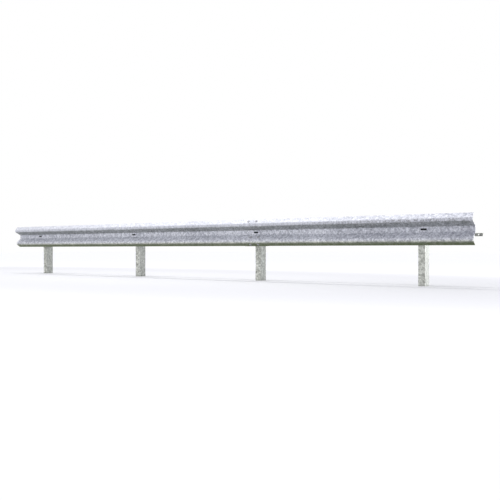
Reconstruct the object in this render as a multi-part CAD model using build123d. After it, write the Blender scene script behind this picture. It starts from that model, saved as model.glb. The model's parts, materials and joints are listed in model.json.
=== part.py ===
"""Highway guardrail section: a corrugated steel beam on four driven posts.

X runs along the road, the traffic side faces -Y, and Z is up. The origin is on
the ground, in the web of the first post.
"""

import os

from build123d import *

os.makedirs("parts", exist_ok=True)

# Layout along the road
BAY = 2000.0
POSTS = 4
OVERHANG = 500.0
BOLT_FROM_WEB = 32.5

# Heights above the ground
BEAM_CENTRE = 570.0
POST_TOP = 695.0
TIE_CENTRE = 517.0

# Corrugated beam
BEAM_HEIGHT = 310.0
BEAM_DEPTH = 80.0
BEAM_LIP = 32.0
BEAM_SHEET = 3.0
CREST_SPACING = 194.0
CREST_FLAT = 30.0
VALLEY_FLAT = 54.0
BEND_RADIUS = 24.0
BEAM_LEAN = 8.4
LAP = 300.0
LAP_STEP = 50.0
LAP_MARGIN = 5.0
SLOT = (65.0, 20.0)
SPLICE_COLUMN = 54.0
SPLICE_HOLE = 9.0
SPLICE_SLOT_STRETCH = 9.0

# Post, a lipped channel with its web to the right
POST_DEPTH = 120.0
POST_WIDTH = 76.0
POST_LIP = 25.0
POST_SHEET = 5.0
POST_BEND = 8.0
POST_BOLT_HEIGHTS = (505.0, 635.0)
POST_HOLE = 9.0

# Spacer, an angle between the post's web and the beam
STAND_OFF = 136.0
SPACER_SHEET = 5.0
SPACER_FLANGE = 72.0
SPACER_HEIGHT = 240.0
SPACER_REACH = 38.0
SPACER_EDGE = 40.0
SPACER_FLARE = 30.0
SPACER_BEND = 9.0
SPACER_SLOT = (18.0, 36.0)
NUT_PLATE = (36.0, 5.0, 60.0)

# Tie channel behind the posts
TIE_HEIGHT = 30.0
TIE_DEPTH = 48.0
TIE_SHEET = 4.0
TIE_BEND = 5.0
TIE_HOLE = 7.0
TIE_END_HOLES = (40.0, 100.0)
TIE_JOINT_LENGTH = 260.0
TIE_JOINT_DEPTH = 34.0
CLAMP_PLATE = (60.0, 6.0, 20.0)

# Cutters run this far, which is past any sheet and short of the next one
CUT = 30.0

VALLEY_Y = -POST_DEPTH / 2 - STAND_OFF
BEAM_PLANE = Pos(0, VALLEY_Y, BEAM_CENTRE) * Rot(X=BEAM_LEAN)
STATIONS = [BOLT_FROM_WEB + BAY * n for n in range(POSTS)]
BEAM_LEFT = STATIONS[0] - OVERHANG
BEAM_RIGHT = STATIONS[-1] + OVERHANG
# The two beams lap at the last post but one
LAP_CENTRE = STATIONS[-2]
TIE_JOINT = (BEAM_LEFT + BEAM_RIGHT) / 2
TIE_BOLT_X = (POST_SHEET - POST_WIDTH) / 2


def save(shape, node, colour=(0.68, 0.69, 0.70)):
    """Write one sub-part to its own file."""
    shape.label = node
    shape.color = Color(*colour)
    export_step(shape, f"parts/{node}.step")


def box_at(size, place):
    return Pos(*place) * Box(*size)


def beam_line():
    """Front face of the beam's section: forward depth, height above its middle."""
    crest = CREST_SPACING / 2
    upper = [
        (BEAM_LIP, BEAM_HEIGHT / 2),
        (BEAM_DEPTH, crest + CREST_FLAT / 2),
        (BEAM_DEPTH, crest - CREST_FLAT / 2),
        (0.0, VALLEY_FLAT / 2),
    ]
    lower = [(depth, -height) for depth, height in reversed(upper)]
    points = upper + lower
    return FilletPolyline(*points, radius=[BEND_RADIUS] * (len(points) - 2))


def beam_section(x, outward=0.0):
    """The beam's sheet at x, its front face moved outward by one sheet or not."""
    line = beam_line()
    side = Side.LEFT if outward else Side.RIGHT
    sheet = make_face(offset(line, amount=BEAM_SHEET, side=side, closed=True))
    # The sketch's x is the forward depth, which points to -Y on the beam
    across = Plane(origin=(x, 0, 0), x_dir=(0, -1, 0), z_dir=(-1, 0, 0))
    return across * sheet


def beam_run(x_from, x_to, outward=0.0):
    return extrude(beam_section(x_to, outward), x_to - x_from)


def slot_cutter(x):
    """A horizontal slot through the valley and the spacer behind it."""
    slot = Plane.XZ * SlotOverall(*SLOT)
    return Pos(x, 0, 0) * extrude(slot, CUT, both=True)


def flank_holes(x, radius, stretch=0.0):
    """Holes square to the beam's four flanks, stretched along the road if asked."""
    crest = CREST_SPACING / 2
    outer_run = (BEAM_DEPTH - BEAM_LIP, BEAM_HEIGHT / 2 - crest - CREST_FLAT / 2)
    inner_run = (BEAM_DEPTH, crest - CREST_FLAT / 2 - VALLEY_FLAT / 2)
    outer_mid = (BEAM_LIP + outer_run[0] / 2, BEAM_HEIGHT / 2 - outer_run[1] / 2)
    inner_mid = (inner_run[0] / 2, VALLEY_FLAT / 2 + inner_run[1] / 2)
    holes = []
    for (depth, height), run, turn in ((outer_mid, outer_run, 1), (inner_mid, inner_run, -1)):
        for up in (1, -1):
            normal = Vector(0, -run[1], up * turn * run[0])
            plane = Plane(origin=(x, -depth, up * height), x_dir=(1, 0, 0), z_dir=normal)
            if stretch:
                shape = plane * SlotOverall(2 * radius + stretch, 2 * radius)
            else:
                shape = plane * Circle(radius)
            holes.append(extrude(shape, CUT / 2, both=True))
    return holes


def splice_cutters(stretch=0.0):
    cutters = []
    for side in (-1, 1):
        cutters += flank_holes(LAP_CENTRE + side * SPLICE_COLUMN, SPLICE_HOLE, stretch)
    return cutters


def beam_panel_left():
    """The left beam, whose plain end lies behind the lap."""
    end = LAP_CENTRE + LAP / 2
    panel = beam_run(BEAM_LEFT, end)
    slots = [slot_cutter(x) for x in STATIONS if x < end]
    return BEAM_PLANE * (panel - slots - splice_cutters(SPLICE_SLOT_STRETCH))


def beam_panel_right():
    """The right beam, which steps forward by one sheet to lie over the left one."""
    lap_left = LAP_CENTRE - LAP / 2
    step_left = LAP_CENTRE + LAP / 2 + LAP_MARGIN
    step_right = step_left + LAP_STEP
    over = beam_run(lap_left, step_left, outward=1.0)
    step = loft([beam_section(step_left, 1.0), beam_section(step_right)], ruled=True)
    panel = over + step + beam_run(step_right, BEAM_RIGHT)
    slots = [slot_cutter(x) for x in STATIONS if x > lap_left]
    return BEAM_PLANE * (panel - slots - splice_cutters())


def channel_face(width, depth, sheet, bend, lip=0.0):
    """A channel's section, its web on the y axis and its flanges towards -x."""
    back = sheet / 2
    corners = [(back - width, -depth / 2), (back, -depth / 2), (back, depth / 2), (back - width, depth / 2)]
    if lip:
        corners.insert(0, (back - width, lip - depth / 2))
        corners.append((back - width, depth / 2 - lip))
    line = FilletPolyline(*corners, radius=[bend] * (len(corners) - 2))
    return make_face(offset(line, amount=sheet, side=Side.LEFT, closed=True))


def tie_hole(x):
    return Pos(x, POST_DEPTH / 2, TIE_CENTRE) * Rot(X=90) * Cylinder(TIE_HOLE, CUT)


def post(number):
    x = BAY * number
    section = channel_face(POST_WIDTH, POST_DEPTH, POST_SHEET, POST_BEND, POST_LIP)
    body = Pos(x, 0, 0) * extrude(section, POST_TOP)
    holes = [Pos(x, 0, z) * Rot(Y=90) * Cylinder(POST_HOLE, CUT) for z in POST_BOLT_HEIGHTS]
    return body - holes - tie_hole(x + TIE_BOLT_X)


def spacer_outline():
    """Side view of a spacer: level on the post, and flared towards the beam."""
    low = POST_BOLT_HEIGHTS[0] - SPACER_EDGE
    high = POST_BOLT_HEIGHTS[1] + SPACER_EDGE
    post_front = -POST_DEPTH / 2
    flared = post_front - STAND_OFF / 2
    past_beam = VALLEY_Y - BEAM_DEPTH
    return make_face(Polyline(
        (past_beam, low - 2 * SPACER_FLARE), (flared, low - SPACER_FLARE), (post_front, low),
        (SPACER_REACH, low), (SPACER_REACH, high), (post_front, high),
        (flared, high + SPACER_FLARE), (past_beam, high + 2 * SPACER_FLARE), close=True,
    ))


def spacer(number):
    """An angle whose flange lies on the beam's valley and whose web bolts to the post."""
    x = BAY * number + POST_SHEET / 2
    long_web = STAND_OFF + POST_DEPTH + SPACER_REACH
    line = FilletPolyline(
        (x + SPACER_FLANGE, BEAM_SHEET), (x, BEAM_SHEET), (x, long_web), radius=[SPACER_BEND]
    )
    angle = make_face(offset(line, amount=SPACER_SHEET, side=Side.RIGHT, closed=True))
    tall = Pos(0, 0, -SPACER_HEIGHT / 2) * extrude(angle, SPACER_HEIGHT)
    body = BEAM_PLANE * (tall - slot_cutter(STATIONS[number]))
    side_plane = Plane(origin=(x, 0, 0), x_dir=(0, 1, 0), z_dir=(1, 0, 0))
    body = body & extrude(side_plane * spacer_outline(), SPACER_FLANGE, both=True)
    for z in POST_BOLT_HEIGHTS:
        hole = Plane(origin=(x, 0, z), x_dir=(0, 0, 1), z_dir=(1, 0, 0))
        body = body - extrude(hole * SlotOverall(SPACER_SLOT[1], SPACER_SLOT[0]), CUT / 2, both=True)
    return body


def nut_plate(number):
    """The plate behind the spacer's flange that the beam bolt pulls on."""
    width, thick, tall = NUT_PLATE
    back = BEAM_SHEET + SPACER_SHEET
    plate = box_at(NUT_PLATE, (STATIONS[number], back + thick / 2, 0))
    hole = Pos(STATIONS[number], back, 0) * Rot(X=90) * Cylinder(POST_HOLE, CUT)
    return BEAM_PLANE * (plate - hole)


def tie_channel(x_from, x_to, depth=TIE_DEPTH, height=TIE_HEIGHT, inset=0.0):
    """A channel along the road, its web on the posts and its flanges rearward."""
    section = channel_face(depth, height, TIE_SHEET, TIE_BEND)
    rear = Plane(origin=(x_from, POST_DEPTH / 2 + TIE_SHEET / 2 + inset, TIE_CENTRE),
                 x_dir=(0, -1, 0), z_dir=(1, 0, 0))
    return extrude(rear * section, x_to - x_from)


def tie_half(side):
    """One length of the tie, holed at its posts and at both of its ends."""
    end = BEAM_LEFT if side < 0 else BEAM_RIGHT
    body = tie_channel(min(end, TIE_JOINT), max(end, TIE_JOINT))
    post_holes = [tie_hole(BAY * n + TIE_BOLT_X) for n in range(POSTS)]
    end_holes = [tie_hole(end - side * from_end) for from_end in TIE_END_HOLES]
    joint_holes = [tie_hole(TIE_JOINT + side * from_end) for from_end in TIE_END_HOLES]
    return body - post_holes - end_holes - joint_holes


def tie_joint():
    """A short channel nested in the tie where its two lengths meet."""
    half = TIE_JOINT_LENGTH / 2
    height = TIE_HEIGHT - 2 * TIE_SHEET
    body = tie_channel(TIE_JOINT - half, TIE_JOINT + half, TIE_JOINT_DEPTH, height, TIE_SHEET)
    holes = [tie_hole(TIE_JOINT + side * near) for side in (-1, 1) for near in TIE_END_HOLES]
    return body - holes


def tie_clamp(number):
    """The plate in the tie under its post bolt."""
    x = BAY * number + TIE_BOLT_X
    y = POST_DEPTH / 2 + TIE_SHEET + CLAMP_PLATE[1] / 2
    return box_at(CLAMP_PLATE, (x, y, TIE_CENTRE)) - tie_hole(x)


save(beam_panel_left(), "rail_beam_left")
save(beam_panel_right(), "rail_beam_right")
for n in range(POSTS):
    save(post(n), f"post_{n + 1}")
    save(spacer(n), f"spacer_{n + 1}")
    save(nut_plate(n), f"rail_nut_plate_{n + 1}")
    save(tie_clamp(n), f"tie_clamp_plate_{n + 1}")
save(tie_half(-1), "rear_tie_left")
save(tie_half(1), "rear_tie_right")
save(tie_joint(), "rear_tie_joint")
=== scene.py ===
"""Highway guardrail section: galvanised finishes, bolts and a plain studio.

The beams, posts, spacers and ties come from the frame and keep their shapes.
This script gives them their hot-dip zinc finishes, adds the bolts and sets the studio.
All lengths are in metres. The barrier runs along X, and its beam faces -Y.
"""

import json
from math import atan, cos, pi, radians, sin

import bpy
from bpy.props import FloatProperty, FloatVectorProperty, PointerProperty
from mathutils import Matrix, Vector


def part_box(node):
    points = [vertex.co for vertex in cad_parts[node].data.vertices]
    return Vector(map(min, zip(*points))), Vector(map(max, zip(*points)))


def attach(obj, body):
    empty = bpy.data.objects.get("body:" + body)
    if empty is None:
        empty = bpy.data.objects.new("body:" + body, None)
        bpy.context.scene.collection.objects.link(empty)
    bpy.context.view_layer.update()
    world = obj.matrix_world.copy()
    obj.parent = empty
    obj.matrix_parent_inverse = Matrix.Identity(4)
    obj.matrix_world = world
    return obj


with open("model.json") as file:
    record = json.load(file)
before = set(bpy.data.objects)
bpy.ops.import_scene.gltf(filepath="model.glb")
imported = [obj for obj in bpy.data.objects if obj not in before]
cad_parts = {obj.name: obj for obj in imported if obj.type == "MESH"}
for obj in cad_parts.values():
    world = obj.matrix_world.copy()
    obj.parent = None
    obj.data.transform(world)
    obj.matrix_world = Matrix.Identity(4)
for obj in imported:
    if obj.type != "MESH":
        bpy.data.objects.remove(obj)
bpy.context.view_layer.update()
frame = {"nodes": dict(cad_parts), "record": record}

bl_info = {
    "name": "Highway guardrail section",
    "version": (1, 0, 0),
    "blender": (4, 5, 0),
    "location": "3D View > Sidebar > Guardrail",
    "description": "Galvanised finishes, bolts and a studio for a length of two-wave guardrail",
    "category": "Object",
}

POSTS = 4
BODY = "root"


class Place:
    """Where the pieces meet, worked out from the frame and the beam's section."""

    lean = radians(8.4)
    sheet = 0.003
    crest_depth = 0.080
    lip_depth = 0.032
    half_height = 0.155
    crest_height = 0.097
    crest_half_flat = 0.015
    valley_half_flat = 0.027
    bolt_from_post = 0.030
    spacer_sheet = 0.005
    nut_plate_sheet = 0.005
    post_sheet = 0.005
    post_bolt_heights = (0.505, 0.635)
    splice_column = 0.054
    splice_post = 3
    tie_sheet = 0.004
    tie_joint_holes = (0.040, 0.100)

    @staticmethod
    def mount(name):
        """The place of one of the record's mounts."""
        return Vector(next(m for m in frame["record"]["mounts"] if m["name"] == name)["pos_m"])

    @classmethod
    def station(cls, number):
        """X of the beam bolt at a post."""
        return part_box(f"post_{number}")[1][0] + cls.bolt_from_post

    @classmethod
    def on_beam(cls, x, depth, height):
        """A point given by its forward depth and its height along the leaning beam."""
        end = cls.mount("beam_end_left")
        valley_y = end.y - cls.sheet / 2
        y = valley_y - depth * cos(cls.lean) - height * sin(cls.lean)
        z = end.z - depth * sin(cls.lean) + height * cos(cls.lean)
        return Vector((x, y, z))

    @classmethod
    def beam_way(cls, depth, height):
        """A direction in the beam's own section, turned to the leaning beam."""
        y = -depth * cos(cls.lean) - height * sin(cls.lean)
        z = -depth * sin(cls.lean) + height * cos(cls.lean)
        return Vector((0.0, y, z)).normalized()


class Socket:
    """A number socket that adds Math nodes when it is used in an expression."""

    def __init__(self, graph, socket):
        self.graph = graph
        self.socket = socket

    def _math(self, operation, first, second=0.0, clamp=False):
        settings = {"operation": operation, "use_clamp": clamp}
        return self.graph.node("ShaderNodeMath", settings, {0: first, 1: second})

    def __add__(self, other):
        return self._math("ADD", self, other)

    def __sub__(self, other):
        return self._math("SUBTRACT", self, other)

    def __mul__(self, other):
        return self._math("MULTIPLY", self, other)

    def __truediv__(self, other):
        return self._math("DIVIDE", self, other)

    def __radd__(self, other):
        return self._math("ADD", other, self)

    def __rsub__(self, other):
        return self._math("SUBTRACT", other, self)

    def __rmul__(self, other):
        return self._math("MULTIPLY", other, self)

    def __neg__(self):
        return self._math("MULTIPLY", self, -1.0)

    def clamped(self):
        """The number, kept between 0 and 1."""
        return self._math("ADD", self, 0.0, clamp=True)

    def at_least(self, low):
        return self._math("MAXIMUM", self, low)

    def step(self, low, high):
        """Rises smoothly from 0 at low to 1 at high, or falls where high is lower."""
        if low > high:
            return 1.0 - self.step(high, low)
        settings = {"interpolation_type": "SMOOTHSTEP"}
        values = {"Value": self, "From Min": low, "From Max": high}
        return self.graph.node("ShaderNodeMapRange", settings, values)


class Graph:
    """Adds nodes to a shader or geometry tree."""

    def __init__(self, tree):
        self.tree = tree

    @staticmethod
    def _find(sockets, key):
        if isinstance(key, int):
            return sockets[key]
        for socket in sockets:
            if socket.identifier == key:
                return socket
        return sockets[key]

    def node(self, kind, settings, inputs, output=0):
        """Add a node: its settings first, then the values or links of its sockets."""
        made = self.tree.nodes.new(kind)
        for name, value in settings.items():
            if name == "stops":
                self._set_stops(made.color_ramp, value)
            else:
                setattr(made, name, value)
        for key, value in inputs.items():
            target = self._find(made.inputs, key)
            if isinstance(value, Socket):
                self.tree.links.new(value.socket, target)
            elif isinstance(value, (list, tuple)) and value and isinstance(value[0], Socket):
                for one in value:
                    self.tree.links.new(one.socket, target)
            else:
                target.default_value = value
        if output is None:
            return made
        return Socket(self, self._find(made.outputs, output))

    @staticmethod
    def _set_stops(ramp, stops):
        while len(ramp.elements) < len(stops):
            ramp.elements.new(0.5)
        for element, (position, colour) in zip(ramp.elements, stops):
            element.position = position
            element.color = (*colour, 1.0)

    def mix(self, factor, first, second, blend="MIX"):
        """Mix two colours."""
        settings = {"data_type": "RGBA", "blend_type": blend}
        values = {"Factor_Float": factor, "A_Color": colour4(first), "B_Color": colour4(second)}
        return self.node("ShaderNodeMix", settings, values, "Result_Color")

    def vector(self, operation, first, second):
        settings = {"operation": operation}
        return self.node("ShaderNodeVectorMath", settings, {0: first, 1: second})

    def scaled(self, vector, by):
        return self.vector("MULTIPLY", vector, by)

    def object_point(self):
        """The point being shaded, in the object's own coordinates."""
        return self.node("ShaderNodeTexCoord", {}, {}, "Object")

    def cells(self, vector, scale):
        """A random colour in each of many cells."""
        values = {"Vector": vector, "Scale": scale}
        return self.node("ShaderNodeTexVoronoi", {"feature": "F1"}, values, "Color")

    def noise(self, vector, scale, detail, roughness=0.5, output="Fac"):
        values = {"Vector": vector, "Scale": scale, "Detail": detail, "Roughness": roughness}
        return self.node("ShaderNodeTexNoise", {}, values, output)

    def parts(self, vector):
        """The three parts of a vector or colour."""
        made = self.node("ShaderNodeSeparateXYZ", {}, {"Vector": vector}, None)
        return [Socket(self, socket) for socket in made.outputs]


def colour4(colour):
    if isinstance(colour, Socket):
        return colour
    return (*tuple(colour)[:3], 1.0)


# Galvanised finishes


class Zinc:
    """How hot-dip zinc is built up, in every finish that is made of it."""

    # Weathered zinc is part bare metal and part dull salts
    metallic = 0.35
    coat_roughness = 0.22
    # A cool grey of painted shade for faces that look right
    painted_side_shade = (0.287, 0.306, 0.304)
    pit_colour = (0.19, 0.175, 0.175)
    # A yellow tint that paints the reflection of green grass on the lower edge
    grass_reflection_tint = (1.0, 1.0, 0.80)

    # How fine the crystals and clouds are, beside the crystals per metre
    large_scale = 0.6
    small_scale = 1.2
    cloud_scale = 0.3
    # How far the outlines of the crystals are bent
    warp = (0.02, 0.02, 0.02)

    # What each pattern adds to the tone, which runs from 0, dull, to 1, bright
    large_crystals = 0.56
    small_crystals = 0.30
    clouds = 0.8
    patches = 0.4
    base_tone = 0.08
    # The tone of the paler top, partly rain-washed zinc and partly a painted highlight
    wash_and_highlight_tone = 0.65

    # How strongly each layer covers what is under it
    wash_and_highlight_strength = 0.50
    # How much of the paler top's painted highlight fades away towards one end
    highlight_fade = 0.30
    pit_strength = 0.6
    streak_strength = 0.35
    soil_strength = 0.35
    tint_strength = 0.8

    # How thick the under sides' dust and painted shade and the lower edge's band of road film, painted
    # shade and painted reflection lie, with more where it is dirty and less dust on bright crystals
    dust = 0.58
    dust_in_dirt = 0.45
    dust_off_bright = 0.55
    dust_and_shade_at_end = 0.15
    film_shade_and_reflection = 0.45
    film_in_dirt = 0.9

    # Where a direction or a noise starts to count, and where it counts in full
    looks_right = (0.5, 0.9)
    looks_down = (0.30, 0.95)
    spots = (0.50, 0.60)
    streaks = (0.52, 0.72)
    # Water streaks are a noise that is drawn out upwards
    streak_shape = (1.0, 1.0, 0.06)

    # How far the edges of the layers spread
    pit_rise = 1.8
    pit_fall = 0.1
    pit_edge = 0.01
    soil_edge = 0.05
    tint_edge = 0.015

    # What grime and specks add to the roughness, and how high each pattern stands
    grime_roughness = 0.10
    speck_roughness = 0.06
    crystal_relief = 0.5
    speck_relief = 0.35
    dirt_relief = 0.5

    # How much finer the crystals of plates are, how much painted shade darkens the rear tie beside the
    # posts, and how bright the mushroom heads are beside the other bolts
    plate_crystals = 1.6
    tie_painted_shade = 0.50
    mushroom_pale = 1.7


def zinc_colours(graph, point, bright, dull, spangle, mottle, blotches, painted_light_fades):
    """Zinc crystals of two sizes over cloudy patches: a colour and a 0 to 1 tone."""
    warp = graph.noise(point, scale=14.0, detail=2.0, output="Color")
    warp = graph.vector("SUBTRACT", warp, (0.5, 0.5, 0.5))
    bent = graph.vector("ADD", point, graph.scaled(warp, Zinc.warp))
    large_cell = graph.parts(graph.cells(bent, spangle * Zinc.large_scale))[0]
    small_cell = graph.parts(graph.cells(bent, spangle * Zinc.small_scale))[1]
    cloud = graph.noise(point, scale=spangle * Zinc.cloud_scale, detail=5.0, roughness=0.62)
    patch = graph.noise(point, scale=1.7, detail=3.0, roughness=0.55)
    x = graph.parts(point)[0]
    for start, end, gain in blotches:
        mottle = mottle + gain * x.step(start, end)
    tone = (Zinc.large_crystals * large_cell + Zinc.small_crystals * small_cell
            + Zinc.clouds * (cloud - 0.5) * mottle + Zinc.patches * (patch - 0.5) + Zinc.base_tone)
    # Painted light and shade: the tone is shifted between two places along the road
    for start, end, shift in painted_light_fades:
        tone = tone + shift * x.step(start, end)
    tone = tone.clamped()
    return graph.mix(tone, dull, bright), tone


def principled(graph, colour, roughness, metallic, height, strength, distance, coat=0.0):
    """End a material in its shader, with a bump that follows a height."""
    bump = {"Strength": strength, "Distance": distance, "Height": height}
    values = {"Base Color": colour, "Roughness": roughness, "Metallic": metallic,
              "Normal": graph.node("ShaderNodeBump", {}, bump)}
    if coat:
        values["Coat Weight"] = coat
        values["Coat Roughness"] = Zinc.coat_roughness
    shader = graph.node("ShaderNodeBsdfPrincipled", {}, values, "BSDF")
    graph.node("ShaderNodeOutputMaterial", {}, {"Surface": shader}, None)


def new_material(name):
    material = bpy.data.materials.new(name)
    material.use_nodes = True
    material.node_tree.nodes.clear()
    return material, Graph(material.node_tree)


def zinc_material(name, bright, dull, grime_and_shade, spangle, mottle=1.0, film_shade_and_reflection=None, film_shade_and_reflection_line=None, soil=0.0,
                  dust_and_shade_end=None, wash_and_highlight_line=None, highlight_fade_end=None, pits=None, right_face_shade=0.0, blotches=(),
                  painted_light_fades=(), rough=(0.46, 0.66), coat=0.0):
    """Hot-dip zinc with crystals, water streaks, dust and painted shade on its under sides and soil at its
    foot.

    Above the wash line the zinc is paler, partly rain-washed and partly a painted highlight, and less so
    towards the fade end. Below the film line lies a dark olive band, partly road film and partly painted
    shade with a painted reflection of green grass, and the dust and painted shade on the under sides
    grow towards one end. Pits are dark specks between two places along the road and two heights.
    Faces that look right get a cool grey of painted shade. Between two places along the road, blotches
    deepen the mottling and painted light and shade shift the tone.
    The two values of rough are the roughness of bright and of dull crystals."""
    material, graph = new_material(name)
    point = graph.object_point()
    normal = graph.node("ShaderNodeNewGeometry", {}, {}, "Normal")
    x, _, z = graph.parts(point)
    rightward, _, upward = graph.parts(normal)
    colour, tone = zinc_colours(graph, point, bright, dull, spangle, mottle, blotches, painted_light_fades)
    # Faces that look right turn a cool grey: painted shade
    if right_face_shade:
        colour = graph.mix(right_face_shade * rightward.step(*Zinc.looks_right), colour, Zinc.painted_side_shade)
    # Paler above the line: partly rain-washed zinc, partly a painted highlight that fades towards one end
    if wash_and_highlight_line:
        kept = 1.0 - Zinc.highlight_fade * x.step(*highlight_fade_end)
        wash_and_highlight = Zinc.wash_and_highlight_strength * z.step(*wash_and_highlight_line) * kept
        pale = [(1.0 - Zinc.wash_and_highlight_tone) * low + Zinc.wash_and_highlight_tone * high for low, high in zip(dull, bright)]
        colour = graph.mix(wash_and_highlight, colour, pale)
    if pits:
        (left, right), (foot, top) = pits
        edge = Zinc.pit_edge
        along = x.step(left, left + Zinc.pit_rise) * x.step(right, right - Zinc.pit_fall)
        upright = z.step(foot - edge, foot + edge) * z.step(top + edge, top - edge)
        spots = graph.noise(point, scale=75.0, detail=2.0).step(*Zinc.spots)
        colour = graph.mix(Zinc.pit_strength * spots * along * upright, colour, Zinc.pit_colour)

    drawn_out = graph.scaled(point, Zinc.streak_shape)
    runs = graph.noise(drawn_out, scale=70.0, detail=3.0, roughness=0.6)
    colour = graph.mix(Zinc.streak_strength * runs.step(*Zinc.streaks), colour, dull)

    speck = graph.noise(point, scale=260.0, detail=3.0, roughness=0.7)
    dirt = graph.noise(point, scale=24.0, detail=5.0, roughness=0.65)
    # Under sides darken, more towards one end: partly dust, partly painted shade
    under = (-upward).step(*Zinc.looks_down)
    dust = Zinc.dust + Zinc.dust_in_dirt * dirt - Zinc.dust_off_bright * tone
    if dust_and_shade_end:
        dust = dust + Zinc.dust_and_shade_at_end * x.step(*dust_and_shade_end)
    grime_and_shade_mask = under * dust
    if soil:
        foot = (z + Zinc.soil_edge * (dirt - 0.5)).step(soil, 0.0)
        grime_and_shade_mask = grime_and_shade_mask + Zinc.soil_strength * foot
    grime_and_shade_mask = grime_and_shade_mask.clamped()
    colour = graph.mix(grime_and_shade_mask, colour, grime_and_shade)
    # A dark olive band along the lower edge: partly road film, partly painted shade and a painted
    # reflection of green grass
    if film_shade_and_reflection:
        low, high = film_shade_and_reflection_line
        tint = Zinc.tint_strength * z.step(high + Zinc.tint_edge, high - Zinc.tint_edge)
        colour = graph.mix(tint, colour, Zinc.grass_reflection_tint, "MULTIPLY")
        film_shade_and_reflection_mask = (z.step(high, low) * (Zinc.film_shade_and_reflection + Zinc.film_in_dirt * dirt)).clamped()
        colour = graph.mix(film_shade_and_reflection_mask, colour, film_shade_and_reflection)
        grime_and_shade_mask = (grime_and_shade_mask + film_shade_and_reflection_mask).clamped()

    smoothest, roughest = rough
    roughness = smoothest + (roughest - smoothest) * (1.0 - tone)
    roughness = roughness + Zinc.grime_roughness * grime_and_shade_mask + Zinc.speck_roughness * (speck - 0.5)
    metal = Zinc.metallic * (1.0 - grime_and_shade_mask)
    height = Zinc.crystal_relief * tone + Zinc.speck_relief * speck + Zinc.dirt_relief * dirt
    principled(graph, colour, roughness.clamped(), metal, height, strength=0.28, distance=0.0012,
               coat=coat)
    return material


def bolt_zinc(name="zinc_bolt", pale=1.0):
    """Dull spun zinc of the fasteners, made once under each name."""
    if name in bpy.data.materials:
        return bpy.data.materials[name]
    bright = [pale * part for part in (0.36, 0.36, 0.38)]
    dull = [pale * part for part in (0.16, 0.16, 0.17)]
    return zinc_material(name, bright, dull, grime_and_shade=(0.06, 0.06, 0.055), spangle=220.0, mottle=0.8,
                         rough=(0.40, 0.6))


def dark_bolt_material(name):
    """Near-black steel, dull and slightly dusty, as painted shade for the dark of the beam's open slots."""
    material, graph = new_material(name)
    dust = graph.noise(graph.object_point(), scale=180.0, detail=4.0, roughness=0.6)
    black = (0.012, 0.013, 0.016)
    dusty = (0.040, 0.040, 0.044)
    colour = graph.mix(dust.step(0.45, 0.8) * 0.5, black, dusty)
    principled(graph, colour, roughness=0.6 + 0.2 * dust, metallic=0.3, height=dust, strength=0.2,
               distance=0.0005)
    return material


def put_material(node, material):
    """Give a frame node one material over its whole surface."""
    mesh = frame["nodes"][node].data
    mesh.materials.clear()
    mesh.materials.append(material)


# Bolts


class BoltShape:
    """What the panel doesn't hold of the fasteners' shapes, in metres and in shares."""

    slot_head_depth = 0.008
    tie_collar = 0.0015
    tie_washer = 0.002

    # Shares of the size of the head, nut, washer or tail that they belong to
    thread = 0.55
    chamfer_start = 0.82
    chamfer_end = 0.86
    washer_rim = 0.985
    tip_start = 0.85
    tip_width = 0.84
    dome_rim = 0.22
    dome_width = 0.97
    slot_head_rim = 0.15
    slot_head_bevel = 0.9
    # Heads beside nuts, and the tie's bolts and their tails beside the M16 ones
    head_height = 0.8
    tie_scale = 0.72
    tie_tail = 0.6

    # Numbers of sides
    hexagon = 6
    washer_sides = 28
    thread_sides = 20
    dome_sides = 24
    dome_rings = 14
    slot_end_sides = 32


def face_points(name, places):
    """A mesh of loose points that carry the way each bolt faces."""
    mesh = bpy.data.meshes.new(name)
    mesh.from_pydata([tuple(point) for point, _ in places], [], [])
    way = mesh.attributes.new("way", "FLOAT_VECTOR", "POINT")
    for index, (_, direction) in enumerate(places):
        way.data[index].vector = tuple(direction)
    piece = bpy.data.objects.new(name, mesh)
    bpy.context.scene.collection.objects.link(piece)
    return piece


def new_bolt_tree(name, sizes):
    """A geometry tree with named size inputs, and a graph to fill it with."""
    tree = bpy.data.node_groups.new(name, "GeometryNodeTree")
    tree.interface.new_socket("Geometry", in_out="INPUT", socket_type="NodeSocketGeometry")
    for label, value in sizes.items():
        socket = tree.interface.new_socket(label, in_out="INPUT", socket_type="NodeSocketFloat")
        socket.default_value = value
        socket.subtype = "DISTANCE"
    tree.interface.new_socket("Geometry", in_out="OUTPUT", socket_type="NodeSocketGeometry")
    graph = Graph(tree)
    group_in = tree.nodes.new("NodeGroupInput")
    inputs = {socket.name: Socket(graph, socket) for socket in group_in.outputs if socket.name}
    return tree, graph, inputs


def stack(graph, sides, radius_low, radius_high, low, high):
    """A closed prism, disc or frustum between two heights."""
    made = graph.node("GeometryNodeMeshCone", {}, {
        "Vertices": sides, "Radius Bottom": radius_low, "Radius Top": radius_high,
        "Depth": high - low}, "Mesh")
    lift = graph.node("ShaderNodeCombineXYZ", {}, {"Z": low}, "Vector")
    return graph.node("GeometryNodeTransform", {}, {"Geometry": made, "Translation": lift}, "Geometry")


def join(graph, parts):
    return graph.node("GeometryNodeJoinGeometry", {}, {"Geometry": parts}, "Geometry")


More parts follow.
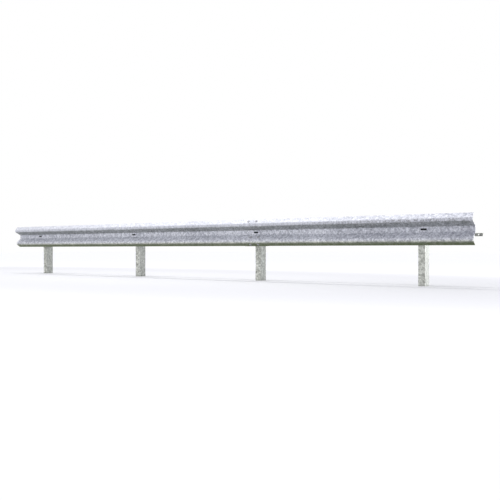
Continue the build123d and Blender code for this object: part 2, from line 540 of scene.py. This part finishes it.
def finish_bolt_tree(graph, points, parts, material):
    """Stand the joined parts on every point, facing its way."""
    way = graph.node("GeometryNodeInputNamedAttribute", {"data_type": "FLOAT_VECTOR"},
                     {"Name": "way"}, "Attribute")
    turn = graph.node("FunctionNodeAlignRotationToVector", {"axis": "Z"}, {"Vector": way}, "Rotation")
    placed = graph.node("GeometryNodeInstanceOnPoints", {}, {
        "Points": points, "Instance": join(graph, parts), "Rotation": turn}, "Instances")
    real = graph.node("GeometryNodeRealizeInstances", {}, {"Geometry": placed}, "Geometry")
    flat = graph.node("GeometryNodeSetShadeSmooth", {}, {"Geometry": real, "Shade Smooth": False},
                      "Geometry")
    done = graph.node("GeometryNodeSetMaterial", {}, {"Geometry": flat, "Material": material},
                      "Geometry")
    graph.tree.links.new(done.socket, graph.tree.nodes.new("NodeGroupOutput").inputs[0])


def hex_bolt_tree(name, material, radius, height, washer_radius, washer_height, tail=0.0):
    """A hexagon head or nut on a washer, with the bolt's end standing out where there is a tail."""
    shape = BoltShape
    sizes = {"Corner Radius": radius, "Height": height, "Washer Radius": washer_radius,
             "Washer Height": washer_height}
    if tail:
        sizes.update({"Thread Radius": radius * shape.thread, "Tail": tail})
    tree, graph, size = new_bolt_tree(name, sizes)
    corner = size["Corner Radius"]
    washer = size["Washer Radius"]
    seat = size["Washer Height"]
    top = seat + size["Height"]
    shoulder = seat + size["Height"] * shape.chamfer_start
    parts = [
        stack(graph, shape.washer_sides, washer, washer * shape.washer_rim, 0.0, seat),
        stack(graph, shape.hexagon, corner, corner, seat, shoulder),
        stack(graph, shape.hexagon, corner, corner * shape.chamfer_end, shoulder, top),
    ]
    if tail:
        thread = size["Thread Radius"]
        tip = top + size["Tail"]
        neck = top + size["Tail"] * shape.tip_start
        parts.append(stack(graph, shape.thread_sides, thread, thread, top, neck))
        parts.append(stack(graph, shape.thread_sides, thread, thread * shape.tip_width, neck, tip))
    finish_bolt_tree(graph, size["Geometry"], parts, material)
    return tree


def dome_bolt_tree(name, material, radius, height):
    """A mushroom head: a low rim under a dome with a flat base."""
    shape = BoltShape
    tree, graph, size = new_bolt_tree(name, {"Head Radius": radius, "Head Height": height})
    head = size["Head Radius"]
    rim = size["Head Height"] * shape.dome_rim
    ball = graph.node("GeometryNodeMeshUVSphere", {}, {
        "Segments": shape.dome_sides, "Rings": shape.dome_rings, "Radius": 1.0}, "Mesh")
    x, y, z = graph.parts(graph.node("GeometryNodeInputPosition", {}, {}, "Position"))
    raised = graph.node("ShaderNodeCombineXYZ", {}, {
        "X": x * head * shape.dome_width, "Y": y * head * shape.dome_width,
        "Z": z.at_least(0.0) * (size["Head Height"] - rim) + rim}, "Vector")
    dome = graph.node("GeometryNodeSetPosition", {}, {"Geometry": ball, "Position": raised}, "Geometry")
    base = stack(graph, shape.dome_sides, head, head, 0.0, rim)
    finish_bolt_tree(graph, size["Geometry"], [base, dome], material)
    return tree


def slot_head_tree(name, material, length, width, depth):
    """An oblong head that lies in the beam's slot, with round ends and a bevelled rim."""
    shape = BoltShape
    tree, graph, size = new_bolt_tree(name, {"Length": length, "Width": width, "Depth": depth})
    half = size["Width"] * 0.5
    side = size["Length"] * 0.5 - half
    rim = size["Depth"] * -shape.slot_head_rim
    rounds = []
    for end in (-1.0, 1.0):
        shift = graph.node("ShaderNodeCombineXYZ", {}, {"X": side * end}, "Vector")
        discs = (stack(graph, shape.slot_end_sides, half, half, -size["Depth"], rim),
                 stack(graph, shape.slot_end_sides, half, half * shape.slot_head_bevel, rim, 0.0))
        for disc in discs:
            moved = {"Geometry": disc, "Translation": shift}
            rounds.append(graph.node("GeometryNodeTransform", {}, moved, "Geometry"))
    body = graph.node("GeometryNodeConvexHull", {}, {"Geometry": join(graph, rounds)}, "Convex Hull")
    finish_bolt_tree(graph, size["Geometry"], [body], material)
    return tree


def grow(name, places, tree):
    """Run a bolt tree over its points and keep the result as a plain mesh piece."""
    piece = face_points(name, places)
    modifier = piece.modifiers.new("bolts", "NODES")
    modifier.node_group = tree
    for item in tree.interface.items_tree:
        is_input = item.item_type == "SOCKET" and item.in_out == "INPUT"
        if is_input and item.socket_type == "NodeSocketFloat":
            modifier[item.identifier] = item.default_value
    depsgraph = bpy.context.evaluated_depsgraph_get()
    mesh = bpy.data.meshes.new_from_object(piece.evaluated_get(depsgraph))
    piece.modifiers.remove(modifier)
    piece.data = mesh
    mesh.name = name
    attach(piece, BODY)


def flank_places(x, lift):
    """The four bolt places across the beam at x, lift above its front face, with their ways."""
    crest_top = Place.crest_height + Place.crest_half_flat
    crest_low = Place.crest_height - Place.crest_half_flat
    outer = ((Place.lip_depth + Place.crest_depth) / 2, (Place.half_height + crest_top) / 2)
    inner = (Place.crest_depth / 2, (Place.valley_half_flat + crest_low) / 2)
    outer_way = (Place.half_height - crest_top, Place.crest_depth - Place.lip_depth)
    inner_way = (crest_low - Place.valley_half_flat, -Place.crest_depth)
    places = []
    for (depth, height), (forward, up) in ((outer, outer_way), (inner, inner_way)):
        for side in (1, -1):
            way = Place.beam_way(forward, up * side)
            places.append((Place.on_beam(x, depth, height * side) + way * lift, way))
    return places


# Panel settings


class GuardrailFinish(bpy.types.PropertyGroup):
    """Colours of the zinc."""

    beam_bright: FloatVectorProperty(name="Beam bright", description="Fresh zinc crystals on the beam",
                                     subtype="COLOR", size=3, default=(0.93, 0.945, 1.0))
    beam_dull: FloatVectorProperty(name="Beam dull", description="Dull zinc crystals on the beam",
                                   subtype="COLOR", size=3, default=(0.295, 0.305, 0.362))
    post_bright: FloatVectorProperty(name="Post bright", description="Fresh zinc on the posts",
                                     subtype="COLOR", size=3, default=(0.905, 0.920, 0.850))
    post_dull: FloatVectorProperty(name="Post dull", description="Weathered zinc on the posts",
                                   subtype="COLOR", size=3, default=(0.293, 0.301, 0.263))
    # Under sides: partly dust, partly painted shade
    grime_and_shade: FloatVectorProperty(name="Grime", description="Dust on the under sides",
                               subtype="COLOR", size=3, default=(0.140, 0.155, 0.138))
    # Lower edge: partly road film, partly painted shade and a painted reflection of green grass
    film_shade_and_reflection: FloatVectorProperty(name="Road film", description="Film along the beam's lower edge",
                              subtype="COLOR", size=3, default=(0.100, 0.130, 0.052))
    spangle: FloatProperty(name="Crystals per metre", description="How fine the zinc crystals are",
                           min=5.0, max=200.0, default=95.0)


class GuardrailBolts(bpy.types.PropertyGroup):
    """Sizes of the fasteners."""

    splice_head: FloatProperty(name="Splice head radius", description="Mushroom heads at the lap",
                               subtype="DISTANCE", unit="LENGTH", default=0.0165)
    splice_height: FloatProperty(name="Splice head height", description="How far the heads stand out",
                                 subtype="DISTANCE", unit="LENGTH", default=0.009)
    nut_radius: FloatProperty(name="M16 corner radius", description="Half the width over the corners",
                              subtype="DISTANCE", unit="LENGTH", default=0.0139)
    nut_height: FloatProperty(name="M16 nut height", description="Height of the nuts, which heads follow",
                              subtype="DISTANCE", unit="LENGTH", default=0.0125)
    washer_radius: FloatProperty(name="M16 washer radius", description="Outer radius of the washers",
                                 subtype="DISTANCE", unit="LENGTH", default=0.017)
    washer_height: FloatProperty(name="Washer thickness", description="Thickness of the washers",
                                 subtype="DISTANCE", unit="LENGTH", default=0.003)
    slot_head_length: FloatProperty(name="Slot head length", description="Oblong heads in the beam's slots",
                                    subtype="DISTANCE", unit="LENGTH", default=0.0645)
    slot_head_width: FloatProperty(name="Slot head width", description="Height of the oblong heads",
                                   subtype="DISTANCE", unit="LENGTH", default=0.0195)
    slot_head_recess: FloatProperty(name="Slot head recess", description="How far the oblong heads lie in",
                                    subtype="DISTANCE", unit="LENGTH", default=0.001)
    tail: FloatProperty(name="Bolt tail", description="Thread past the nut",
                        subtype="DISTANCE", unit="LENGTH", default=0.010)


class GuardrailStage(bpy.types.PropertyGroup):
    """Camera and light."""

    lens_pixels: FloatProperty(name="Lens", description="Focal length in pixels of a 500 pixel picture",
                               default=633.4)
    heading: FloatProperty(name="Heading",
                           description="How far the camera turns to the left of straight on",
                           subtype="ANGLE", unit="ROTATION", default=radians(35.005))
    horizon_pixels: FloatProperty(name="Horizon", description="Row of the horizon in a 500 pixel picture",
                                  default=249.33)
    key: FloatProperty(name="Overhead light", description="Strength of the overhead softbox",
                       unit="POWER", default=120.0)


# Operators


class GUARDRAIL_OT_finish_beams(bpy.types.Operator):
    """Give the two lapped beams their spangled zinc"""
    bl_idname = "guardrail.finish_beams"
    bl_label = "Finish beams"

    def execute(self, context):
        look = context.scene.guardrail_finish
        zinc = zinc_material("zinc_beam", look.beam_bright, look.beam_dull, look.grime_and_shade, look.spangle,
                             film_shade_and_reflection=look.film_shade_and_reflection, film_shade_and_reflection_line=(0.425, 0.460), dust_and_shade_end=(6.0, 4.9),
                             wash_and_highlight_line=(0.60, 0.66), highlight_fade_end=(4.4, 6.0), mottle=0.85,
                             pits=((4.2, 6.5), (0.635, 0.668)),
                             # The fades paint a broad highlight over the left and middle of the beam and
                             # shade at both ends
                             painted_light_fades=((5.6, 3.2, 0.11), (2.4, 0.2, -0.06), (5.8, 6.4, -0.05)))
        for node in ("rail_beam_left", "rail_beam_right"):
            put_material(node, zinc)
        return {"FINISHED"}


class GUARDRAIL_OT_finish_posts(bpy.types.Operator):
    """Give the posts weathered zinc with soil at the foot"""
    bl_idname = "guardrail.finish_posts"
    bl_label = "Finish posts"

    def execute(self, context):
        look = context.scene.guardrail_finish
        # The right faces of the posts get painted shade
        zinc = zinc_material("zinc_post", look.post_bright, look.post_dull, look.grime_and_shade,
                             look.spangle, mottle=1.3, soil=0.03, right_face_shade=0.5,
                             blotches=((5.2, 4.2, 1.5), (1.8, 0.4, -0.6)),
                             # The fades paint shade on the posts towards the left end
                             painted_light_fades=((5.0, 2.4, -0.09), (1.6, 0.4, 0.03)), coat=0.6)
        for number in range(1, POSTS + 1):
            put_material(f"post_{number}", zinc)
        return {"FINISHED"}


class GUARDRAIL_OT_finish_spacers(bpy.types.Operator):
    """Give the spacers and their nut plates matt zinc"""
    bl_idname = "guardrail.finish_spacers"
    bl_label = "Finish spacers"

    def execute(self, context):
        look = context.scene.guardrail_finish
        zinc = zinc_material("zinc_spacer", look.post_bright, look.post_dull, look.grime_and_shade, look.spangle)
        plate = zinc_material("zinc_nut_plate", look.beam_bright, look.beam_dull, look.grime_and_shade,
                              look.spangle * Zinc.plate_crystals)
        for number in range(1, POSTS + 1):
            put_material(f"spacer_{number}", zinc)
            put_material(f"rail_nut_plate_{number}", plate)
        return {"FINISHED"}


class GUARDRAIL_OT_finish_tie(bpy.types.Operator):
    """Give the rear tie drawn zinc, darkened with painted shade"""
    bl_idname = "guardrail.finish_tie"
    bl_label = "Finish rear tie"

    def execute(self, context):
        look = context.scene.guardrail_finish
        # Painted shade: the tie's zinc is darkened to a share of the posts' colours
        dim = [Zinc.tie_painted_shade * part for part in look.post_bright]
        dark = [Zinc.tie_painted_shade * part for part in look.post_dull]
        zinc = zinc_material("zinc_tie", dim, dark, look.grime_and_shade, look.spangle)
        plate = zinc_material("zinc_clamp_plate", look.post_bright, look.post_dull, look.grime_and_shade,
                              look.spangle * Zinc.plate_crystals)
        for node in ("rear_tie_left", "rear_tie_right", "rear_tie_joint"):
            put_material(node, zinc)
        for number in range(1, POSTS + 1):
            put_material(f"tie_clamp_plate_{number}", plate)
        return {"FINISHED"}


class GUARDRAIL_OT_add_splice_bolts(bpy.types.Operator):
    """Add the mushroom heads and the nuts of the lap"""
    bl_idname = "guardrail.add_splice_bolts"
    bl_label = "Add splice bolts"

    def execute(self, context):
        size = context.scene.guardrail_bolts
        middle = Place.station(Place.splice_post)
        heads, nuts = [], []
        for side in (-1, 1):
            x = middle + side * Place.splice_column
            heads += flank_places(x, Place.sheet)
            nuts += [(point, -way) for point, way in flank_places(x, -Place.sheet)]
        dome = dome_bolt_tree("mushroom_head", bolt_zinc("zinc_bolt_head", Zinc.mushroom_pale),
                              size.splice_head, size.splice_height)
        nut = hex_bolt_tree("splice_nut", bolt_zinc(), size.nut_radius, size.nut_height,
                            size.washer_radius, size.washer_height, size.tail)
        grow("splice_bolt_heads", heads, dome)
        grow("splice_bolt_nuts", nuts, nut)
        return {"FINISHED"}


class GUARDRAIL_OT_add_beam_bolts(bpy.types.Operator):
    """Add the slot bolts of the beam with their nuts behind the spacers"""
    bl_idname = "guardrail.add_beam_bolts"
    bl_label = "Add beam bolts"

    def execute(self, context):
        size = context.scene.guardrail_bolts
        behind = Place.sheet + Place.spacer_sheet + Place.nut_plate_sheet
        nuts, heads = [], []
        for number in range(1, POSTS + 1):
            x = Place.station(number)
            lap = Place.sheet if number == Place.splice_post else 0.0
            nuts.append((Place.on_beam(x, -behind, 0.0), Place.beam_way(-1.0, 0.0)))
            heads.append((Place.on_beam(x, lap - size.slot_head_recess, 0.0), Place.beam_way(1.0, 0.0)))
        # The black heads paint the shade of the open slots
        slot_head = slot_head_tree("slot_bolt_head", dark_bolt_material("black_slot_shade_bolt"),
                                   size.slot_head_length, size.slot_head_width,
                                   BoltShape.slot_head_depth)
        grow("beam_bolt_heads", heads, slot_head)
        nut = hex_bolt_tree("beam_nut", bolt_zinc(), size.nut_radius, size.nut_height,
                            size.washer_radius, size.washer_height, size.tail)
        grow("beam_bolt_nuts", nuts, nut)
        return {"FINISHED"}


class GUARDRAIL_OT_add_post_bolts(bpy.types.Operator):
    """Add the bolts that hold the spacers to the posts"""
    bl_idname = "guardrail.add_post_bolts"
    bl_label = "Add post bolts"

    def execute(self, context):
        size = context.scene.guardrail_bolts
        heads, nuts = [], []
        for number in range(1, POSTS + 1):
            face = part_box(f"post_{number}")[1][0]
            for z in Place.post_bolt_heights:
                heads.append((Vector((face + Place.spacer_sheet, 0.0, z)), Vector((1, 0, 0))))
                nuts.append((Vector((face - Place.post_sheet, 0.0, z)), Vector((-1, 0, 0))))
        head = hex_bolt_tree("post_bolt_head", bolt_zinc(), size.nut_radius,
                             size.nut_height * BoltShape.head_height, size.washer_radius,
                             size.washer_height)
        nut = hex_bolt_tree("post_bolt_nut", bolt_zinc(), size.nut_radius, size.nut_height,
                            size.washer_radius, size.washer_height, size.tail)
        grow("post_bolt_heads", heads, head)
        grow("post_bolt_nuts", nuts, nut)
        return {"FINISHED"}


class GUARDRAIL_OT_add_tie_bolts(bpy.types.Operator):
    """Add the small bolts that hold the rear tie and its joint"""
    bl_idname = "guardrail.add_tie_bolts"
    bl_label = "Add tie bolts"

    def execute(self, context):
        size = context.scene.guardrail_bolts
        post_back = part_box("post_1")[1][1]
        tie_low, tie_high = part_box("rear_tie_left")
        z = (tie_low[2] + tie_high[2]) / 2
        clamp_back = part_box("tie_clamp_plate_1")[1][1]
        joint_low, joint_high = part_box("rear_tie_joint")
        joint_middle = (joint_low[0] + joint_high[0]) / 2
        joint_web_back = post_back + 2 * Place.tie_sheet
        back, front = Vector((0, 1, 0)), Vector((0, -1, 0))
        heads, nuts = [], []
        for number in range(1, POSTS + 1):
            low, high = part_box(f"post_{number}")
            x = (low[0] + high[0]) / 2
            heads.append((Vector((x, clamp_back, z)), back))
            nuts.append((Vector((x, high[1] - Place.post_sheet, z)), front))
        for side in (-1, 1):
            for near in Place.tie_joint_holes:
                x = joint_middle + side * near
                heads.append((Vector((x, joint_web_back, z)), back))
                nuts.append((Vector((x, post_back, z)), front))
        scale = BoltShape.tie_scale
        radius = size.nut_radius * scale
        height = size.nut_height * scale
        head = hex_bolt_tree("tie_bolt_head", bolt_zinc(), radius, height, radius, BoltShape.tie_collar)
        nut = hex_bolt_tree("tie_bolt_nut", bolt_zinc(), radius, height, size.washer_radius * scale,
                            BoltShape.tie_washer, size.tail * BoltShape.tie_tail)
        grow("tie_bolt_heads", heads, head)
        grow("tie_bolt_nuts", nuts, nut)
        return {"FINISHED"}


# Studio


class Studio:
    """Places, sizes and colours of the floor, the lamps, the sky and the camera."""

    overhead_place = (1.9, -0.25, 4.2)
    overhead_target = (1.9, -0.25, 0.5)
    overhead_size = (9.0, 0.9)
    side_place = (7.5, 0.9, 0.45)
    side_target = (6.0, 0.0, 0.35)
    side_size = (0.8, 0.8)
    side_power = 31.0

    camera_place = (8.2129, -6.2903, 0.373)
    half_picture = 250.0
    clip_end = 200.0

    floor_reach = 60.0
    floor_seen = (0.80, 0.80, 0.80)
    floor_bounce = (0.53, 0.53, 0.51)
    # The overhead lamp lights the floor well this far to each side, and past that the floor glows
    lit_half_length = 4.0
    lit_half_width = 1.8
    glow_edge = (0.8, 5.0)
    near_glow = 0.02
    far_glow = 0.28

    white = (1.0, 1.0, 1.0)
    black = (0.0, 0.0, 0.0)
    # The sky from straight down to straight up, and how much of it is shaded towards the right
    sky = ((0.0, (0.40, 0.40, 0.38)), (0.48, (0.60, 0.60, 0.60)), (0.52, (0.98, 0.99, 1.05)),
           (0.8, (0.94, 0.95, 1.02)), (1.0, (0.94, 0.94, 1.0)))
    right_shade = 0.4
    right_edge = (0.0, 0.9)


def soft_light(name, place, target, size, power):
    """A softbox that the camera doesn't see."""
    data = bpy.data.lights.new(name, "AREA")
    data.shape = "RECTANGLE"
    data.size, data.size_y = size
    data.energy = power
    lamp = bpy.data.objects.new(name, data)
    lamp.location = place
    way = Vector(target) - Vector(place)
    lamp.rotation_euler = way.to_track_quat("-Z", "Y").to_euler()
    lamp.visible_camera = False
    bpy.context.scene.collection.objects.link(lamp)
    return lamp


def keep_off(lamp, thing):
    """Leave a thing out of a lamp's light. A low lamp would burn a bright patch into the floor."""
    spared = bpy.data.collections.new(f"not_lit_by_{lamp.name}")
    spared.objects.link(thing)
    spared.collection_objects[0].light_linking.link_state = "EXCLUDE"
    lamp.light_linking.receiver_collection = spared


def seen(graph):
    """1 on rays from the camera and on rays that metal or glass sends on, and 0 on all others."""
    path = graph.node("ShaderNodeLightPath", {}, {}, None)
    kinds = ("Is Camera Ray", "Is Glossy Ray", "Is Transmission Ray")
    camera, glossy, through = (Socket(graph, path.outputs[kind]) for kind in kinds)
    return (camera + glossy + through).clamped()


def floor_material():
    """Pale floor: near white to the camera, and a plain grey to the light that reaches the object.

    Under the overhead lamp it holds the barrier's shadow, and further out it glows to meet the
    background."""
    material, graph = new_material("studio_floor")
    direct = seen(graph)
    x, y, _ = graph.parts(graph.object_point())
    along = (x - Studio.overhead_place[0]) / Studio.lit_half_length
    across = y / Studio.lit_half_width
    far = (along * along + across * across).step(*Studio.glow_edge)
    colour = graph.mix(direct, Studio.floor_bounce, Studio.floor_seen)
    diffuse = graph.node("ShaderNodeBsdfDiffuse", {}, {"Color": colour}, "BSDF")
    strength = direct * (Studio.near_glow + Studio.far_glow * far)
    glow = graph.node("ShaderNodeEmission", {}, {"Color": colour4(Studio.white), "Strength": strength},
                      "Emission")
    both = graph.node("ShaderNodeAddShader", {}, {0: diffuse, 1: glow}, "Shader")
    graph.node("ShaderNodeOutputMaterial", {}, {"Surface": both}, None)
    return material


def studio_world():
    """A white background to the camera, and a soft sky to the object, shaded towards the right."""
    world = bpy.data.worlds.new("studio_world")
    world.use_nodes = True
    world.node_tree.nodes.clear()
    graph = Graph(world.node_tree)
    right, _, height = graph.parts(graph.node("ShaderNodeTexCoord", {}, {}, "Generated"))
    sky = graph.node("ShaderNodeValToRGB", {"stops": Studio.sky}, {"Fac": height * 0.5 + 0.5}, "Color")
    sky = graph.mix(Studio.right_shade * right.step(*Studio.right_edge), sky, Studio.black)
    colour = graph.mix(seen(graph), sky, Studio.white)
    back = graph.node("ShaderNodeBackground", {}, {"Color": colour, "Strength": 1.0}, "Background")
    graph.node("ShaderNodeOutputWorld", {}, {"Surface": back}, None)
    bpy.context.scene.world = world


class GUARDRAIL_OT_set_stage(bpy.types.Operator):
    """Set the pale floor, the soft lights and the camera"""
    bl_idname = "guardrail.set_stage"
    bl_label = "Set stage"

    def execute(self, context):
        stage = context.scene.guardrail_stage
        mesh = bpy.data.meshes.new("studio_floor")
        reach = Studio.floor_reach
        mesh.from_pydata([(-reach, -reach, 0), (reach, -reach, 0), (reach, reach, 0), (-reach, reach, 0)],
                         [], [(0, 1, 2, 3)])
        mesh.materials.append(floor_material())
        floor = bpy.data.objects.new("studio_floor", mesh)
        context.scene.collection.objects.link(floor)
        studio_world()
        soft_light("overhead", Studio.overhead_place, Studio.overhead_target, Studio.overhead_size,
                   stage.key)
        side = soft_light("right_side", Studio.side_place, Studio.side_target, Studio.side_size,
                          Studio.side_power)
        keep_off(side, floor)

        half = Studio.half_picture
        data = bpy.data.cameras.new("camera")
        data.sensor_fit = "HORIZONTAL"
        data.angle = 2 * atan(half / stage.lens_pixels)
        data.clip_end = Studio.clip_end
        camera = bpy.data.objects.new("camera", data)
        camera.location = Studio.camera_place
        dip = atan((half - stage.horizon_pixels) / stage.lens_pixels)
        camera.rotation_euler = (pi / 2 - dip, 0.0, stage.heading)
        context.scene.collection.objects.link(camera)
        context.scene.camera = camera
        context.scene.view_settings.view_transform = "Standard"
        return {"FINISHED"}


OPERATORS = (
    GUARDRAIL_OT_finish_beams, GUARDRAIL_OT_finish_posts, GUARDRAIL_OT_finish_spacers,
    GUARDRAIL_OT_finish_tie, GUARDRAIL_OT_add_splice_bolts, GUARDRAIL_OT_add_beam_bolts,
    GUARDRAIL_OT_add_post_bolts, GUARDRAIL_OT_add_tie_bolts, GUARDRAIL_OT_set_stage,
)


class GUARDRAIL_PT_panel(bpy.types.Panel):
    """Lists the sizes, the colours and the steps"""
    bl_idname = "GUARDRAIL_PT_panel"
    bl_label = "Guardrail"
    bl_space_type = "VIEW_3D"
    bl_region_type = "UI"
    bl_category = "Guardrail"

    def draw(self, context):
        for group in (context.scene.guardrail_finish, context.scene.guardrail_bolts,
                      context.scene.guardrail_stage):
            box = self.layout.box()
            for name in group.__annotations__:
                box.prop(group, name)
        for operator in OPERATORS:
            self.layout.operator(operator.bl_idname)


GROUPS = {"guardrail_finish": GuardrailFinish, "guardrail_bolts": GuardrailBolts,
          "guardrail_stage": GuardrailStage}


def register():
    for name, group in GROUPS.items():
        bpy.utils.register_class(group)
        setattr(bpy.types.Scene, name, PointerProperty(type=group))
    for item in (*OPERATORS, GUARDRAIL_PT_panel):
        bpy.utils.register_class(item)


def unregister():
    for item in reversed((*OPERATORS, GUARDRAIL_PT_panel)):
        bpy.utils.unregister_class(item)
    for name, group in reversed(GROUPS.items()):
        delattr(bpy.types.Scene, name)
        bpy.utils.unregister_class(group)


def main():
    register()
    for operator in OPERATORS:
        family, action = operator.bl_idname.split(".")
        getattr(getattr(bpy.ops, family), action)()


if __name__ == "__main__":
    main()
